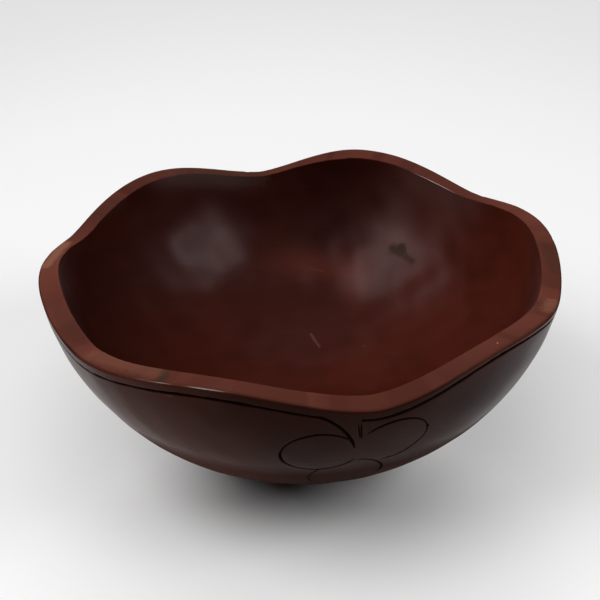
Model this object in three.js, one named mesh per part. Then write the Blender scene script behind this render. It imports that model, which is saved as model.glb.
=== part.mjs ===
// Footed wooden bowl: a carved bowl with a wavy, six-lobed rim, and a turned foot whose spigot is
// glued into a socket in the bowl's underside.
// Millimetres, +Z up. The origin is the centre of the foot's underside, and -Y is the front.
// Angles run from the front (-Y) towards the right (+X). Depths run down from the mean rim level.

import * as THREE from 'three';
import { ParametricGeometry } from 'three/addons/geometries/ParametricGeometry.js';

// Outer wall: part of an ellipse whose centre lies above the rim, so the wall still flares at the top.
const outerRadius = 135;
const outerReach = 123.5;
const centreAboveRim = 15;

// Inside: a fuller curve round the same centre, with shallow flutes under the lobes.
const rimWidth = 11.1;
const insideFullness = 2.2;
const fluteDepth = 1;

// Rim: the turn in degrees from the front, and the heights over the mean rim of the inner and the outer
// edge, of each dip and crest in order, as the hand-carved rim has them. Dips and crests take turns, and
// the first is a dip.
const rimKnots = [
  { turn: 2, inner: -5.3, outer: -6.7 },
  { turn: 30, inner: 5, outer: 5.7 },
  { turn: 64, inner: -3.3, outer: -4.9 },
  { turn: 91, inner: 3.5, outer: 3 },
  { turn: 118, inner: -3.6, outer: -4.3 },
  { turn: 150, inner: 4.8, outer: 6.5 },
  { turn: 179, inner: -6.3, outer: -7.3 },
  { turn: 210, inner: 5.2, outer: 5.6 },
  { turn: 240, inner: -3.1, outer: -4.2 },
  { turn: 268, inner: 6.4, outer: 3.4 },
  { turn: 296, inner: -5.5, outer: -5.7 },
  { turn: 331, inner: 4.7, outer: 4.8 },
];
const dipSharpness = 1.6;
const edgeRound = 1;

// Foot: a turned ring with a gently coved side and a recessed underside, and a round spigot on top.
const footTopRadius = 45;
const footBaseRadius = 47;
const footHeight = 9;
const footWeb = 4;
const ringWidth = 9;
const coveDepth = 1.5;
const footTopLip = 1.5;
const footBaseLip = 3.5;
const footEdgeRound = 1.2;

// Glued joint between the foot and the bowl.
const shoulderWidth = 15;
const spigotHeight = 4;
const spigotChamfer = 0.8;
const glueGap = 0.3;
const seatLedge = 1.2;
const floorOverSocket = 9;

// Steps of the curves.
const bowlTurnSteps = 96;
const insideSteps = 14;
const outsideSteps = 13;
const edgeSteps = 3;
const footTurnSteps = 72;
const footCurveSteps = 4;

const spigotRadius = footTopRadius - shoulderWidth;
const socketRadius = spigotRadius + glueGap;
const socketDepth = spigotHeight + glueGap;
const seatRadius = footTopRadius + seatLedge;
const seatAngle = Math.acos(seatRadius / outerRadius);
const seatDepth = outerReach * Math.sin(seatAngle) - centreAboveRim;
const meanRimHeight = footHeight + seatDepth;
const insideRadius = outerRadius - rimWidth;
const insideReach = seatDepth - socketDepth - floorOverSocket + centreAboveRim;
const rimEdgeRound = Math.min(edgeRound, rimWidth / 2);

// Place on the rim: the dip and the crest that an angle lies between, and how far it is from the dip
// towards the crest, along a quarter of a sine wave.
function rimPlace(angle) {
  const degrees = THREE.MathUtils.radToDeg(angle);
  const count = rimKnots.length;
  const before = (rimKnots.findLastIndex((knot) => knot.turn <= degrees) + count) % count;
  const after = (before + 1) % count;
  const turned = THREE.MathUtils.euclideanModulo(degrees - rimKnots[before].turn, 360);
  const apart = THREE.MathUtils.euclideanModulo(rimKnots[after].turn - rimKnots[before].turn, 360);
  const rising = before % 2 === 0;
  const dip = rimKnots[rising ? before : after];
  const crest = rimKnots[rising ? after : before];
  const fromDip = rising ? turned / apart : 1 - turned / apart;
  return { dip, crest, share: Math.sin(Math.PI / 2 * fromDip) };
}

// Point of the inside curve, with turn 0 level with the curve's centre and a quarter turn on the axis.
function insidePoint(turn) {
  const radius = insideRadius * Math.abs(Math.cos(turn)) ** (2 / insideFullness);
  const depth = insideReach * Math.sin(turn) ** (2 / insideFullness) - centreAboveRim;
  return { radius, depth };
}

function insideTurnAt(depth) {
  return Math.asin(((depth + centreAboveRim) / insideReach) ** (insideFullness / 2));
}

function outsidePoint(turn) {
  const radius = outerRadius * Math.cos(turn);
  const depth = outerReach * Math.sin(turn) - centreAboveRim;
  return { radius, depth };
}

function outsideTurnAt(depth) {
  return Math.asin((depth + centreAboveRim) / outerReach);
}

// Quarter-round edge as points between two directions, counted from outwards (0) to up (a quarter turn).
function edgeArc(centreRadius, centreDepth, fromTurn, toTurn) {
  const points = [];
  for (let step = 0; step <= edgeSteps; step += 1) {
    const turn = THREE.MathUtils.lerp(fromTurn, toTurn, step / edgeSteps);
    const radius = centreRadius + rimEdgeRound * Math.cos(turn);
    const depth = centreDepth - rimEdgeRound * Math.sin(turn);
    points.push({ radius, depth });
  }
  return points;
}

// Section of the bowl at one angle, from the middle of the inside, over the rim, to the socket's middle.
function bowlSection(angle) {
  const { dip, crest, share: lobe } = rimPlace(angle);
  const rise = lobe ** dipSharpness;
  const innerTop = -THREE.MathUtils.lerp(dip.inner, crest.inner, rise);
  const outerTop = -THREE.MathUtils.lerp(dip.outer, crest.outer, rise);
  const flute = fluteDepth * lobe ** 2;
  const points = [];

  const insideEnd = insideTurnAt(innerTop + rimEdgeRound);
  for (let step = 0; step < insideSteps; step += 1) {
    const share = step / insideSteps;
    const point = insidePoint(THREE.MathUtils.lerp(Math.PI / 2, insideEnd, share));
    point.radius = step === 0 ? 0 : point.radius + flute * Math.sin(Math.PI * share) ** 2;
    points.push(point);
  }
  const innerWall = insidePoint(insideEnd).radius;
  points.push(...edgeArc(innerWall + rimEdgeRound, innerTop + rimEdgeRound, Math.PI, Math.PI / 2));

  const outsideStart = outsideTurnAt(outerTop + rimEdgeRound);
  const outerWall = outsidePoint(outsideStart).radius;
  points.push(...edgeArc(outerWall - rimEdgeRound, outerTop + rimEdgeRound, Math.PI / 2, 0));
  for (let step = 1; step < outsideSteps; step += 1) {
    points.push(outsidePoint(THREE.MathUtils.lerp(outsideStart, seatAngle, step / outsideSteps)));
  }
  points.push({ radius: seatRadius, depth: seatDepth });
  points.push({ radius: socketRadius, depth: seatDepth });
  points.push({ radius: socketRadius, depth: seatDepth - socketDepth });
  points.push({ radius: 0, depth: seatDepth - socketDepth });
  return points;
}

function bowlGeometry() {
  const sections = [];
  for (let step = 0; step < bowlTurnSteps; step += 1) {
    sections.push(bowlSection(2 * Math.PI * step / bowlTurnSteps));
  }
  const lastPoint = sections[0].length - 1;
  const place = (along, around, target) => {
    const step = Math.round(around * bowlTurnSteps) % bowlTurnSteps;
    const angle = 2 * Math.PI * step / bowlTurnSteps;
    const { radius, depth } = sections[step][Math.round(along * lastPoint)];
    target.set(radius * Math.sin(angle), -radius * Math.cos(angle), meanRimHeight - depth);
  };
  return new ParametricGeometry(place, lastPoint, bowlTurnSteps);
}

// Half section of the foot, from the middle of the spigot's top to the middle of the recess.
function footGeometry() {
  const top = footHeight + spigotHeight;
  const recessRadius = footBaseRadius - ringWidth;
  const recessTop = footHeight - footWeb;
  const outline = new THREE.Path();
  outline.moveTo(0, top);
  outline.lineTo(spigotRadius - spigotChamfer, top);
  outline.lineTo(spigotRadius, top - spigotChamfer);
  outline.lineTo(spigotRadius, footHeight);
  outline.lineTo(footTopRadius, footHeight);
  outline.lineTo(footTopRadius, footHeight - footTopLip);
  outline.quadraticCurveTo(footTopRadius - coveDepth, footBaseLip, footBaseRadius, footBaseLip);
  outline.lineTo(footBaseRadius, footEdgeRound);
  outline.quadraticCurveTo(footBaseRadius, 0, footBaseRadius - footEdgeRound, 0);
  outline.lineTo(recessRadius, 0);
  outline.lineTo(recessRadius, recessTop);
  outline.lineTo(0, recessTop);
  const lathe = new THREE.LatheGeometry(outline.getPoints(footCurveSteps).reverse(), footTurnSteps);
  return lathe.rotateX(Math.PI / 2);
}

const bowlWood = new THREE.MeshStandardMaterial({ color: 0x4a211a, roughness: 0.38, metalness: 0 });
const footWood = new THREE.MeshStandardMaterial({ color: 0x3c1d17, roughness: 0.45, metalness: 0 });

const bowlBody = new THREE.Mesh(bowlGeometry(), bowlWood);
bowlBody.name = 'bowl_body';

const foot = new THREE.Mesh(footGeometry(), footWood);
foot.name = 'foot_ring';

const footedBowl = new THREE.Group();
footedBowl.add(bowlBody, foot);

export default footedBowl;
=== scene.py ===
"""Footed wooden bowl: a carved bowl with a wavy rim and a turned foot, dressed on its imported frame.

Lengths are metres in the frame's own axes: +Z up, -Y the front with the carved flower.
The lists of carvings, patches and marks are in millimetres and degrees.
Angles round the bowl run from the front (-Y) towards the right (+X).
Depths and arcs run down the outer wall from the mean rim level.
"""
import math
from collections import namedtuple

import bpy
import numpy as np
from bpy.props import FloatProperty, FloatVectorProperty, IntProperty, PointerProperty
from mathutils import Matrix, Vector


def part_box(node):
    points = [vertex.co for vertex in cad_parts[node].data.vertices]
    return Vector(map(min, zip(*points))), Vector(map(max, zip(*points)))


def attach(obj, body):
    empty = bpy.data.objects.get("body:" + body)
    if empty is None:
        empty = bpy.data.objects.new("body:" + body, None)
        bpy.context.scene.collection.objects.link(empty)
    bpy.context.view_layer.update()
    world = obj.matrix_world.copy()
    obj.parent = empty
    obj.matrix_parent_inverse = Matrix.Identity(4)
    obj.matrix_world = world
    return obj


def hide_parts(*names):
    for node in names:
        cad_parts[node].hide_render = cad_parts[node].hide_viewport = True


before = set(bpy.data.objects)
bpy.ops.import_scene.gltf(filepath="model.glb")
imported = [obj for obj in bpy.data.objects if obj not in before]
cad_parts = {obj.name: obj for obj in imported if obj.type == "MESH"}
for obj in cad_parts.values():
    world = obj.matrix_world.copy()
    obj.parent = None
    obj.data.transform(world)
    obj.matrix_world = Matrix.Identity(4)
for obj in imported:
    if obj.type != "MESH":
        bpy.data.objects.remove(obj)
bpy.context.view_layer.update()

bl_info = {
    "name": "Footed wooden bowl",
    "version": (1, 0, 0),
    "blender": (4, 5, 0),
    "location": "3D View > Sidebar > Bowl",
    "description": "Makes a carved wooden bowl with a wavy rim, its turned foot and a plain studio stage",
    "category": "Object",
}

BODY = "root"
SEAT_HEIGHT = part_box("bowl_body")[0].z
FOOT_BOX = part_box("foot_ring")
MM = 0.001
FULL_TURN = 2 * math.pi


def in_mm(*values):
    """Millimetres as metres."""
    return tuple(MM * value for value in values)


# Dips and crests of the rim in turn, with the front dip first: their angles, the heights of the rim's inner
# and outer edge over the mean rim level, the drop of the border line below the rim, that line's share of its
# full width, and the tone of the rim, partly the rubbed wood and partly painted sheen.
RIM_ANGLES = tuple(math.radians(turn) for turn in (2, 30, 64, 91, 118, 150, 179, 210, 240, 268, 296, 331))
INNER_HEIGHTS = in_mm(-5.3, 5, -3.3, 3.5, -3.6, 4.8, -6.3, 5.2, -3.1, 6.4, -5.5, 4.7)
OUTER_HEIGHTS = in_mm(-6.7, 5.7, -4.9, 3, -4.3, 6.5, -7.3, 5.6, -4.2, 3.4, -5.7, 4.8)
BORDER_DROPS = in_mm(6, 3.2, 4.5, 5, 5, 5, 5, 5, 5, 5.5, 5.8, 5.2)
BORDER_SWELLS = (1, 1, 0.8, 0.7, 0.8, 0.8, 0.8, 0.8, 0.8, 0.7, 0.6, 1)
RIM_TONES = (0.84, 0.84, 1.02, 1.07, 0.88, 0.96, 0.8, 0.77, 0.9, 1.32, 1.0, 0.86)

# Unevenness of hand tools: the seed of the random draws, the count of waves, and the shortest and longest.
Waves = namedtuple("Waves", "seed count shortest longest")
BROAD_WAVES = Waves(1240, 7, 30, 90)
FINE_WAVES = Waves(1297, 14, 14, 32)

# Facets that the knife left round the rim: the seed of the random draws and the count of facets.
Facets = namedtuple("Facets", "seed count")
INNER_FACETS = Facets(3, 48)
OUTER_FACETS = Facets(5, 48)
BORDER_FACETS = Facets(9, 260)
TONE_FACETS = Facets(7, 90)

# A petal is an ellipse on the unrolled wall: its centre across and down, its half length and half width,
# the tilt of its length, and the part of its outline that is cut. The swell is the cut's width along that
# part, as shares of the full width at equal steps.
Petal = namedtuple("Petal", "across down half_length half_width tilt start end swell")
PETALS = (
    Petal(-20, 35.3, 17.8, 15.7, 17, -52, -354, (0.7, 1, 1.15, 0.65, 1.3, 0.85, 0.75, 0.85, 0.8)),
    Petal(12, 32, 18.6, 15.2, -31, -108, 124, (0.6, 1.2, 1.15, 0.9, 0.7, 0.6, 0.7, 0.8, 0.8)),
    Petal(-4.7, 62.9, 17.1, 19.5, 0, -86, 221, (0.45, 0.8, 1.2, 0.8, 0.6, 0.6, 0.6, 0.6, 0.9)),
)

# Other cuts of the flower as places across and down: the curve along which the left end of the border line
# bends into the flower, the stem's two lines and the gouge's dot. The bend has shares of the full width at
# shares of its way. All cuts lie within the reach.
BEND_CURVE = ((-21.4, 9.7), (-14, 11.5), (-7, 21), (-4.8, 31.6))
BEND_WIDTHS = ((0, 0.5, 0.85, 1), (1, 1, 1.1, 0.4))
STEM_LINES = (((-4.8, 13.2), (-2.8, 24.9)), ((-3.4, 13.3), (-2.1, 24.8)))
GOUGE_DOT = ((29.2, 26), (30.2, 26.8))
FLOWER_REACH = in_mm(45, 95)

# Stretches of the rim's two edges that hands have polished: middle, half length and strength.
Stretch = namedtuple("Stretch", "middle half strength")
INNER_POLISH = (Stretch(127, 6, 1),)
OUTER_POLISH = (Stretch(315.5, 5.5, 1), Stretch(330.5, 4, 0.55))

# Patches under an edge of the rim: painted sheen, stain that is rubbed through, and wood that hands have
# buffed. The middle and half length are angles, and the reach runs down from the edge.
Patch = namedtuple("Patch", "middle half reach strength")
INNER_SHEEN_PATCHES = (Patch(197, 14, 7, 0.17), Patch(123, 13, 13, 0.075))
OUTER_SHEEN_PATCHES = (Patch(33, 17, 22, 0.05),)
OUTER_RUBS = (Patch(38, 20, 3.6, 0.6), Patch(303, 10, 3.6, 0.3))
OUTER_GLOSS = (Patch(294, 10, 45, 1),)

# Tone of the wood's colour. Inside it is e to a sum over the places across and along, as shares of the bowl's
# half width: these are the factors of across, along, their squares and their product, and the least place
# along that counts. Outside it is a least tone, with more towards the left, where it is partly warmer wood
# and partly painted sheen, times a share that falls with height.
HALF_WIDTH = 0.135
TONE_FACTORS = (0.65, 0.3, -0.25, -1.3, -0.65)
TONE_FRONT = -0.35
OUTER_TONE, LEFT_TONE_AND_SHEEN, LEFT_POWER = 0.65, 1.3, 1.5
UPPER_SHARE, LOWER_SHARE = 0.6, 0.45
SHARE_ENDS = in_mm(55, 100)
TONE_SPREAD = 0.08

# Round spots inside, by their middle on the plan: patches of painted sheen, then a darker spot and a paler
# spot that paints the bright core of a highlight.
Spot = namedtuple("Spot", "across along radius strength")
SHEEN_SPOTS = (Spot(74, 79, 12, 0.14), Spot(-27, 105, 9, 0.1), Spot(51, 75, 9, 0.07), Spot(94, 62, 10, 0.06))
TONE_SPOTS = (Spot(43.2, 108, 33.07, -0.42), Spot(49.95, 75.6, 10.46, 0.9))

# Pale streak inside: its middle across, its reach to both sides, its place along where it crosses the middle
# of the bowl, how far that falls for each step across, its half width and its strength.
PaleStreak = namedtuple("PaleStreak", "across reach along fall half_width strength")
PALE_STREAK = PaleStreak(29.7, 25.26, 98.55, 0.25, 7.39, 1.6)

# Heights between which the polish of the outer wall runs out towards the underside, and by how much.
POLISH_ENDS = in_mm(54, 66)
POLISH_LOSS = 0.7

# A mark is a streak between two points with a half width, dark or pale by a share from -1 to 1. Marks of use
# are dark where the wood is chipped or stained and pale where it is scratched or rubbed. Other marks darken
# or lighten stretches of the rim, and some pale ones are painted highlights and painted light.
Mark = namedtuple("Mark", "start end half_width shade")
MARKS = (
    Mark((74, 77.1, 66.8), (77.4, 74.3, 67), 4.4, -0.85),
    Mark((78.3, 74.4, 69), (77.6, 72.4, 65.2), 3.4, -0.85),
    Mark((78.8, 71, 65), (81.6, 65.2, 63.6), 2.9, -0.75),
    # Painted highlight along the chip's upper edge.
    Mark((70.8, 80.6, 67.6), (77.2, 76.8, 70.4), 1.1, 0.07),
    Mark((16.2, 52, 30.2), (18.5, 41.5, 27.5), 1.2, 0.14),
    Mark((22.6, 91.6, 53.2), (32, 87.5, 52.1), 1.1, 0.04),
    Mark((42.8, 32.8, 30), (43, 31.6, 29.9), 0.6, 0.2),
    Mark((-82.8, -94.5, 112.4), (-84.6, -100.5, 112.8), 3.4, -0.75),
    Mark((-132.5, -23.5, 109.4), (-126, -26.2, 110.5), 0.4, -0.6),
    Mark((2, 125.5, 103.5), (-47, 117, 112), 8, -0.5),
    # Painted light: a paler stretch of the rim on the left.
    Mark((-118.8, 52.9, 106.3), (-128.5, 18.5, 112.5), 5, 0.34),
    Mark((-124.7, -24.2, 111), (-118.6, -45.5, 105.7), 6, -0.25),
    Mark((-111.1, -61.6, 104.6), (-86.6, -92.9, 111.7), 6, 0.12),
    # Painted highlight at the rim's outer edge on the right front.
    Mark((101, -82, 107), (110, -70, 109), 5, 0.2),
    Mark((124, -40, 108), (127, -22, 110), 6, -0.4),
    Mark((-98, 80, 110), (-86, 92, 111), 6, -0.25),
    # Painted highlights: pale specks along the lower lip of the border line.
    Mark((-93.6, -94.3, 104.6), (-81.2, -106, 107), 0.5, 0.12),
    Mark((64.6, -112.3, 115.5), (64.9, -112, 115.5), 0.45, 0.9),
    Mark((-58.5, -106.6, 71.5), (-54.9, -106.2, 67.7), 0.5, 0.15),
)

# Parts of the bowl with a finish of their own, in the order of its materials.
Finish = namedtuple("Finish", "shine coat_rough coat_index")
FINISHES = {
    "inside": Finish(shine=0.15, coat_rough=0.25, coat_index=1.5),
    "rim": Finish(shine=0.0, coat_rough=0.16, coat_index=1.8),
    "outer_wall": Finish(shine=0.03, coat_rough=0.25, coat_index=1.5),
}
ZONES = list(FINISHES)

# Depth of the stain as shares of year rings, fibres and clouds, and the range of their sum.
RING_SHARE, FIBRE_SHARE, CLOUD_SHARE = 0.25, 0.55, 0.8
DEPTH_RANGE = (0.2, 1.4)

# Ranges of the rim's and the cuts' masks in which the stain is rubbed off, the rim turns dull and the cuts
# turn dark, and the share by which clouds fray the rubbed stain's border.
RUBBED_RANGE = (0.5, 0.9)
DULL_RANGE = (0.1, 0.5)
CUT_RANGE = (0.03, 0.4)
FRAY_SHARE = 0.3

# Masks that the bowl's rows carry: the rim's top, the inside, polished edges and carved cuts.
ROW_MASKS = ("rim", "inside", "edge", "cut")

# Soft lamps: the turn from the camera's side and the height as angles, the width, the other side and the
# distance in metres, the power in watts, and whether the bowl's gloss shows the lamp.
Lamp = namedtuple("Lamp", "name turn height width tall distance power reflected")
LAMPS = (
    Lamp("left_lamp", -68, 51, 1.1, 1.1, 1.6, 13.8, True),
    Lamp("right_lamp", 69, 38, 0.8, 0.8, 1.6, 10.6, True),
    Lamp("top_lamp", 0, 72, 1.2, 1.2, 1.6, 8.5, False),
    Lamp("high_lamp", 180, 62, 0.7, 0.7, 1.6, 0.8, True),
    Lamp("back_lamp", 180, 12, 3.0, 1.5, 4.0, 205, True),
)


def number(name, description, default, **kind):
    """A plain number, or one with a unit or subtype."""
    return FloatProperty(name=name, description=description, default=default, **kind)


def length(name, description, default):
    """A length in metres."""
    return number(name, description, default, unit="LENGTH", precision=4)


def colour(name, description, default):
    """A colour in linear red, green and blue."""
    return FloatVectorProperty(name=name, description=description, default=default, size=3, subtype="COLOR")


def knots(name, description, default, **kind):
    """One number for each dip and crest of the rim."""
    return FloatVectorProperty(name=name, description=description, default=default, size=len(default), **kind)


class BowlSizes(bpy.types.PropertyGroup):
    """Sizes of the carved bowl."""

    outer_radius: length("Outer radius", "Half width of the ellipse that the outer wall follows", 0.135)
    outer_reach: length("Outer reach", "Depth of that ellipse below its centre", 0.1235)
    centre_lift: length("Centre lift", "Height of the ellipse's centre over the mean rim level", 0.015)
    rim_width: length("Rim width", "Wall thickness at the rim", 0.0111)
    inner_round: length("Inner round", "Radius of the rim's inner edge", 0.0008)
    outer_round: length("Outer round", "Radius of the rim's outer edge", 0.0016)
    flute_depth: length("Flute depth", "Depth of the shallow flutes inside, under the lobes", 0.001)
    floor_height: length("Floor height", "Thickness from the seat of the foot to the inside's floor", 0.0133)
    seat_radius: length("Seat radius", "Radius of the flat seat under the bowl", 0.0462)
    socket_radius: length("Socket radius", "Radius of the socket for the foot's spigot", 0.0303)
    socket_depth: length("Socket depth", "Depth of that socket", 0.0043)
    broad_waves: length("Broad waves", "Height of the broad unevenness of the hand-carved inside", 0.00035)
    fine_waves: length("Fine waves", "Height of the fine unevenness of the hand-carved inside", 0.0002)
    outer_share: number("Outer share", "Unevenness of the outer wall over that of the inside", 0.35)
    facets: length("Facets", "Height of the small facets that the knife left on the rim", 0.00018)
    inside_fullness: number("Inside fullness", "Power of the inside's curve: 2 is an ellipse", 2.2)
    dip_sharpness: number("Dip sharpness", "Power of the rim's wave: 1 makes sharp dips and 2 soft ones", 1.6)
    rim_angles: knots("Rim angles", "Angles of the rim's dips and crests", RIM_ANGLES, unit="ROTATION")
    inner_heights: knots("Inner heights", "Heights of the rim's inner edge", INNER_HEIGHTS, unit="LENGTH")
    outer_heights: knots("Outer heights", "Heights of the rim's outer edge", OUTER_HEIGHTS, unit="LENGTH")


class CarvingSizes(bpy.types.PropertyGroup):
    """Sizes of the carved border line and flower."""

    border_drops: knots("Border drops", "Drops of the border line below the rim", BORDER_DROPS, unit="LENGTH")
    border_swells: knots("Border swells", "Shares of the border line's full width", BORDER_SWELLS)
    border_width: length("Border width", "Width of the border line", 0.0019)
    border_unrest: number("Border unrest", "Spread of the border line's width, as a share of it", 0.16)
    petal_width: length("Petal width", "Width of the petals' outlines", 0.0014)
    stem_width: length("Stem width", "Width of the stem's two lines", 0.001)
    depth_share: number("Depth share", "Depth of a cut over its width", 0.6)
    cell_splits: IntProperty(
        name="Cell splits", description="Parts into which a carved cell's side is split", default=8)


class FootSizes(bpy.types.PropertyGroup):
    """Sizes of the turned foot."""

    base_radius: length("Base radius", "Radius of the foot's widest turn", FOOT_BOX[1].x)
    top_radius: length("Top radius", "Radius of the foot under the bowl", 0.045)
    top_lip: length("Top lip", "Height of the straight lip under the bowl", 0.0015)
    base_lip: length("Base lip", "Height at which the coved side ends", 0.0035)
    base_round: length("Base round", "Radius of the base ring's outer edge", 0.0012)
    chamfer: length("Chamfer", "Chamfer of the spigot and of the recess", 0.0008)
    cove: length("Cove", "Depth of the hollow turned into the foot's side", 0.0015)
    ring_width: length("Ring width", "Width of the ring that the bowl stands on", 0.009)
    recess: length("Recess", "Depth of the hollow under the foot", 0.005)
    spigot_radius: length("Spigot radius", "Radius of the spigot glued into the bowl", 0.03)


class WoodLook(bpy.types.PropertyGroup):
    """Colours and gloss of the stained wood."""

    stain: colour("Stain", "The stained wood inside the bowl", (0.054, 0.0088, 0.0046))
    deep_stain: colour("Deep stain", "The darker bands of the stained wood", (0.038, 0.0062, 0.0033))
    outer_stain: colour("Outer stain", "The darker, browner stain on the outer wall", (0.046, 0.0132, 0.0074))
    outer_deep: colour("Outer deep", "The darkest patches of that stain", (0.029, 0.0088, 0.0058))
    # The rim's colours are greyer than bare wood, which paints part of the rim's sheen.
    rim_wood_and_sheen: colour("Rim wood", "The rubbed wood on the rim", (0.101, 0.0305, 0.0212))
    rim_band_and_sheen: colour("Rim band", "The darker bands of the rim's wood", (0.085, 0.0248, 0.017))
    # Also the colour of the painted highlights and painted light among the marks.
    scratch_and_highlight: colour("Scratch", "Bare wood in scratches and on rubbed spots", (0.30, 0.15, 0.09))
    # Painted sheen: the pale colour of the patches and spots of painted sheen.
    sheen_colour: colour("Wax bloom", "Pale bloom of old wax", (0.30, 0.20, 0.19))
    # Also darkens stretches of the rim among the marks.
    chip: colour("Chip", "Grey-brown wood in chips and stains", (0.036, 0.020, 0.0145))
    # The cuts' dark colour is their stain with painted shade.
    cut: colour("Cut", "The dark stain lying in the carved lines", (0.006, 0.0022, 0.0014))
    gloss: colour("Gloss", "Warm tint of the waxed surface's gloss", (1.0, 0.66, 0.67))
    thin_wax: number("Thin wax", "Coat where the wax inside is thin", 0.045, subtype="FACTOR")
    thick_wax: number("Thick wax", "Coat where the wax inside is thick", 0.08, subtype="FACTOR")
    buffed: number("Buffed", "Coat where hands have buffed the outer wall", 0.16, subtype="FACTOR")
    inner_rough: number("Inner rough", "Roughness inside the bowl", 0.46, subtype="FACTOR")
    outer_rough: number("Outer rough", "Roughness of the outer wall", 0.25, subtype="FACTOR")
    dull_rough: number("Dull rough", "Roughness of cuts, chips and bare wood", 0.85, subtype="FACTOR")
    foot_rough: number("Foot rough", "Roughness of the foot", 0.5, subtype="FACTOR")
    foot_shine: number("Foot shine", "Gloss of the foot", 0.1, subtype="FACTOR")


class StageSettings(bpy.types.PropertyGroup):
    """Camera, floor and surroundings."""

    eye: FloatVectorProperty(
        name="Eye", description="Place of the camera", default=(-0.1159, -0.5385, 0.3994), subtype="XYZ",
        unit="LENGTH")
    azimuth: number("Azimuth", "Turn of the camera round the bowl", math.radians(-12.02), unit="ROTATION")
    pitch: number("Pitch", "How far the camera looks down", math.radians(29.735), unit="ROTATION")
    roll: number("Roll", "Clockwise lean of the camera", math.radians(1.2), unit="ROTATION")
    lens: number("Lens", "Focal length on a 36 mm sensor", 71.84, unit="CAMERA")
    floor_size: length("Floor size", "Side of the square floor", 8)
    floor_tone: number("Floor tone", "Grey of the pale floor", 0.8, subtype="FACTOR")
    near_floor: length("Near floor", "Distance up to which the lamps alone light the floor", 0.45)
    far_floor: length("Far floor", "Distance from which the floor shows the surroundings' grey", 1.0)
    backdrop: number("Backdrop", "Grey of the far surroundings", 0.76, subtype="FACTOR")
    fill_light: number("Fill light", "Strength of the light from all round", 0.003)


class FootedBowl(bpy.types.PropertyGroup):
    """All settings of the footed bowl."""

    bowl: PointerProperty(type=BowlSizes)
    carving: PointerProperty(type=CarvingSizes)
    foot: PointerProperty(type=FootSizes)
    wood: PointerProperty(type=WoodLook)
    stage: PointerProperty(type=StageSettings)


def between_knots(angle, angles):
    """Knots before and after each angle round the circle, and the share of the way between them."""
    around = np.append(angles, angles[0] + FULL_TURN)
    turned = np.mod(angle - around[0], FULL_TURN) + around[0]
    before = np.clip(np.searchsorted(around, turned, side="right") - 1, 0, len(angles) - 1)
    share = (turned - around[before]) / (around[before + 1] - around[before])
    return before, (before + 1) % len(angles), share


def ease_round(angle, angles, values):
    """Runs through values at the given angles, in half cosine waves, round the full circle."""
    before, after, share = between_knots(angle, angles)
    levels = np.array(values)
    return levels[before] + (levels[after] - levels[before]) * (1 - np.cos(np.pi * share)) / 2


def lobe_round(angle, angles):
    """Dip and crest that each angle lies between, and its way from the dip along a quarter sine wave."""
    before, after, share = between_knots(angle, angles)
    rising = before % 2 == 0
    dip, crest = np.where(rising, before, after), np.where(rising, after, before)
    return dip, crest, np.sin(np.pi / 2 * np.where(rising, share, 1 - share))


def facet_draws(facets, spread):
    """Random angles in order round the circle, and a random number of the given spread for each."""
    rng = np.random.default_rng(facets.seed)
    turns = np.sort(rng.uniform(0, FULL_TURN, facets.count))
    return turns, rng.normal(0, spread, facets.count)


def knife_facets(angle, facets, height):
    """Small facets round the rim: straight pieces between random heights at random angles."""
    return np.interp(angle, *facet_draws(facets, height), period=FULL_TURN)


def facet_tones(angle, facets, spread):
    """Tone of each small facet round the rim: one random number between random angles."""
    turns, tones = facet_draws(facets, spread)
    return tones[np.searchsorted(turns, np.mod(angle, FULL_TURN)) % facets.count]


def stretch_bell(angle, stretch):
    """Steep bell over a stretch of angles: the strength times e to the minus fourth power of the way out."""
    way = (angle - math.radians(stretch.middle)) / math.radians(stretch.half)
    return stretch.strength * np.exp(-way ** 4)


def polish_round(angle, stretches):
    """Polish round an edge: the sum of its stretches' bells."""
    return sum(stretch_bell(angle, stretch) for stretch in stretches)


def patches_under(angle, below, patches):
    """Patches under an edge: in each stretch of angles, a bell of the distance below that edge."""
    return sum(stretch_bell(angle, patch) * np.exp(-(below / (patch.reach * MM)) ** 2) for patch in patches)


def falling(height, ends):
    """Share that falls evenly from 1 at the lower of two heights to 0 at the upper one."""
    low, high = ends
    return np.clip((high - height) / (high - low), 0, 1)


def spot_bell(points, spot):
    """Round spot on the plan: its strength times a bell of the distance from its middle."""
    off_across, off_along = points[:, 0] / MM - spot.across, points[:, 1] / MM - spot.along
    return spot.strength * np.exp(-(off_across ** 2 + off_along ** 2) / spot.radius ** 2)


def streak_bell(points, streak):
    """Slanted streak on the plan: its strength times bells of the places along it and across it."""
    across, along = points[:, 0] / MM, points[:, 1] / MM
    off_line = along + streak.fall * across - streak.along
    way = (across - streak.across) / streak.reach
    return streak.strength * np.exp(-way ** 2 - (off_line / streak.half_width) ** 2)


def hand_waves(points, waves):
    """Sum of plane waves with fixed random directions, lengths and phases, over its root mean square."""
    rng = np.random.default_rng(waves.seed)
    directions = rng.normal(size=(waves.count, 3))
    directions /= np.linalg.norm(directions, axis=1, keepdims=True)
    pitch = rng.uniform(*in_mm(waves.shortest, waves.longest), waves.count)
    phase = rng.uniform(0, FULL_TURN, waves.count)
    total = np.cos(points @ (directions * (FULL_TURN / pitch)[:, None]).T + phase)
    return total.sum(axis=-1) / math.sqrt(waves.count / 2)


def gouge_ripple(points, sizes):
    """Unevenness left by hand tools: broad waves plus fine ones."""
    return (sizes.broad_waves * hand_waves(points, BROAD_WAVES)
            + sizes.fine_waves * hand_waves(points, FINE_WAVES))


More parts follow.
